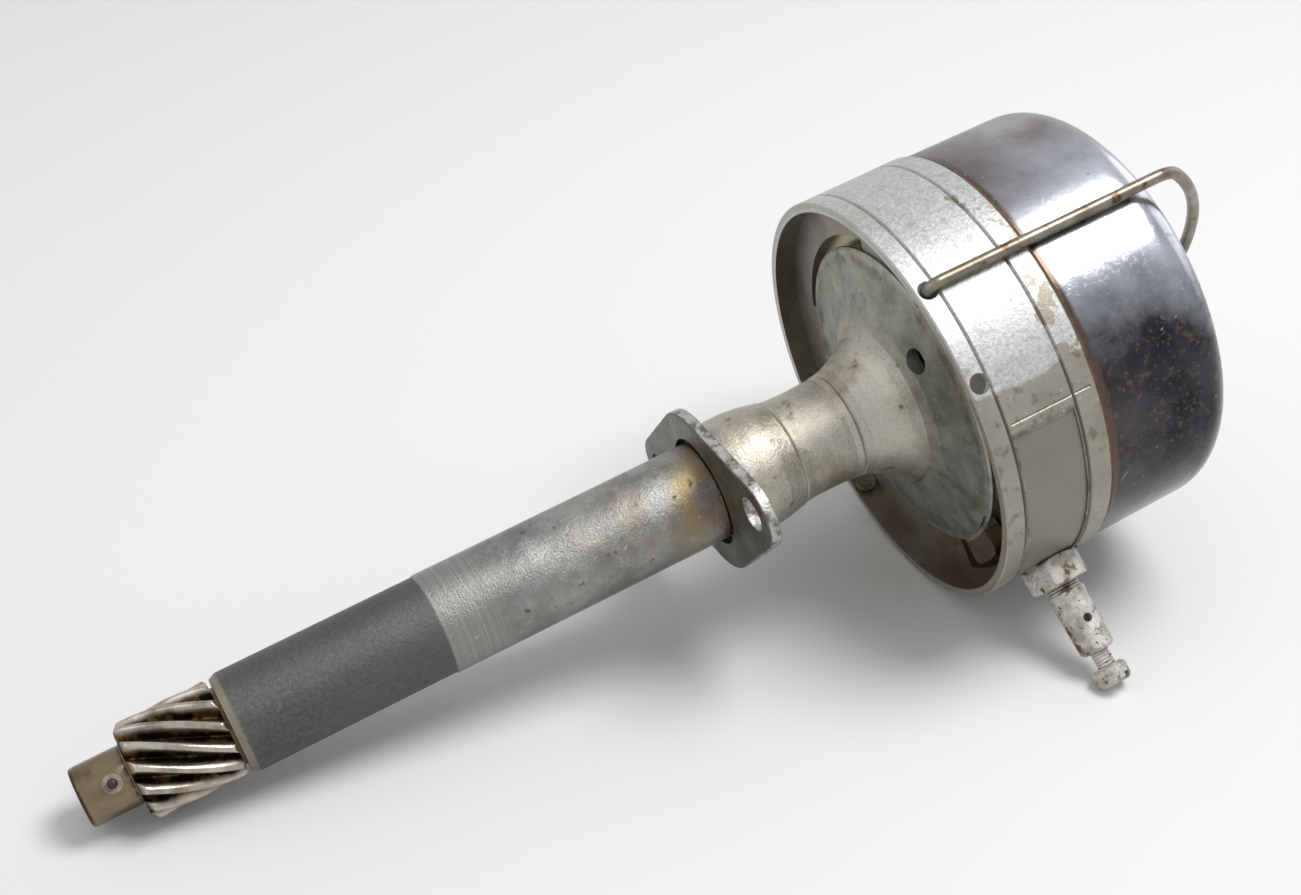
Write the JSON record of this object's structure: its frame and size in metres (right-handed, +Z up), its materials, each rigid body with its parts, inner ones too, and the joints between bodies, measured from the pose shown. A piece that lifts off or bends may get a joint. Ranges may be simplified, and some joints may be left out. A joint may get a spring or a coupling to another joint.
{
  "type": "ignition distributor",
  "caption": "Ignition distributor: long stem with skew drive gear, clamp plate, turning contact-breaker head, domed cover and wire bail.",
  "frame": {"origin": "on the shaft axis, in the lower face of the clamp plate, which is the face that bears on the engine", "axes": "+Z up the shaft towards the cover; the clamp plate's two bolt holes lie on the X axis"},
  "size_m": [0.0806, 0.0947, 0.2155],
  "materials": {
    "cast_stem": "aged cast and turned alloy, stained",
    "ring_paint": "silver paint, peeled in patches",
    "chrome": "aged chrome with rust specks",
    "gear_steel": "worn, oil-stained",
    "shaft_steel": "satin",
    "pin_steel": "bright",
    "zinc": "corroded zinc plating",
    "wire_steel": "browned",
    "clamp_steel": "rough cut edge",
    "bush_bronze": "oiled bronze",
    "cam_steel": "ground",
    "plate_steel": "passivated",
    "brass": "dull",
    "phenolic": "brown laminate",
    "contact_metal": "dark tungsten",
    "can_metal": "drawn can",
    "lead_rubber": "matt",
    "seal_rubber": "matt, oily",
    "cork": "brown gasket board"
  },
  "bodies": {
    "stem": {"stem_housing": "cast_stem", "lower_bushing": "bush_bronze", "upper_bushing": "bush_bronze", "stem_seal_ring": "seal_rubber", "retaining_ring": "plate_steel", "retaining_screw_1": "shaft_steel", "retaining_screw_2": "shaft_steel", "retaining_screw_3": "shaft_steel"},
    "shaft": {"drive_shaft": "shaft_steel", "drive_gear": "gear_steel", "gear_pin": "pin_steel", "thrust_washer": "bush_bronze", "shaft_circlip": "shaft_steel", "breaker_cam": "cam_steel", "cam_screw": "shaft_steel"},
    "clamp": {"clamp_plate": "clamp_steel"},
    "head": {"head_ring": "ring_paint", "breaker_plate": "plate_steel", "plate_screw_1": "shaft_steel", "plate_screw_2": "shaft_steel", "plate_screw_3": "shaft_steel", "lever_pivot": "shaft_steel", "pivot_clip": "shaft_steel", "fixed_contact_bracket": "plate_steel", "fixed_contact": "contact_metal", "contact_lock_screw": "shaft_steel", "gap_adjusting_screw": "shaft_steel", "condenser": "can_metal", "condenser_strap": "plate_steel", "strap_screw": "shaft_steel", "spring_anchor": "phenolic", "condenser_lead": "lead_rubber", "terminal_stud": "brass", "terminal_insulator": "phenolic", "terminal_inner_nut": "brass", "terminal_nut_1": "brass", "terminal_nut_2": "brass", "terminal_washer": "brass", "terminal_strip": "brass", "control_post": "zinc", "post_clamp_screw": "zinc", "cover_gasket": "cork"},
    "lever": {"breaker_lever": "plate_steel", "rubbing_block": "phenolic", "moving_contact": "contact_metal", "lever_spring": "shaft_steel"},
    "cover": {"cover": "chrome"},
    "bail": {"cover_bail": "wire_steel"}
  },
  "joints": [
    {"name": "shaft_spin", "type": "hinge", "parent": "stem", "child": "shaft", "pos_m": [0, 0, 0], "axis": [0, 0, 1], "continuous": true},
    {"name": "spark_advance", "type": "hinge", "parent": "stem", "child": "head", "pos_m": [0, 0, 0.0425], "axis": [0, 0, 1], "range_deg": [-9.5, 19.5]},
    {"name": "clamp_turn", "type": "hinge", "parent": "stem", "child": "clamp", "pos_m": [0, 0, 0.001], "axis": [0, 0, 1], "continuous": true},
    {"name": "breaker_lever", "type": "hinge", "parent": "head", "child": "lever", "pos_m": [-0.017, -0.0125, 0.053], "axis": [0, 0, -1], "range_deg": [0, 3], "stiffness_Nm_per_rad": 0.3, "springref_deg": -28.65},
    {"name": "bail_swing", "type": "hinge", "parent": "head", "child": "bail", "pos_m": [0, 0, 0.0384], "axis": [0.7815, -0.6239, 0], "range_deg": [0, 150]},
    {"name": "cover_lift", "type": "slide", "parent": "head", "child": "cover", "axis": [0, 0, 1], "range_m": [0, 0.0197]}
  ],
  "couplings": [
    {"joint": "cover_lift", "follows": "bail_swing", "m_per_rad": 0.0075}
  ]
}
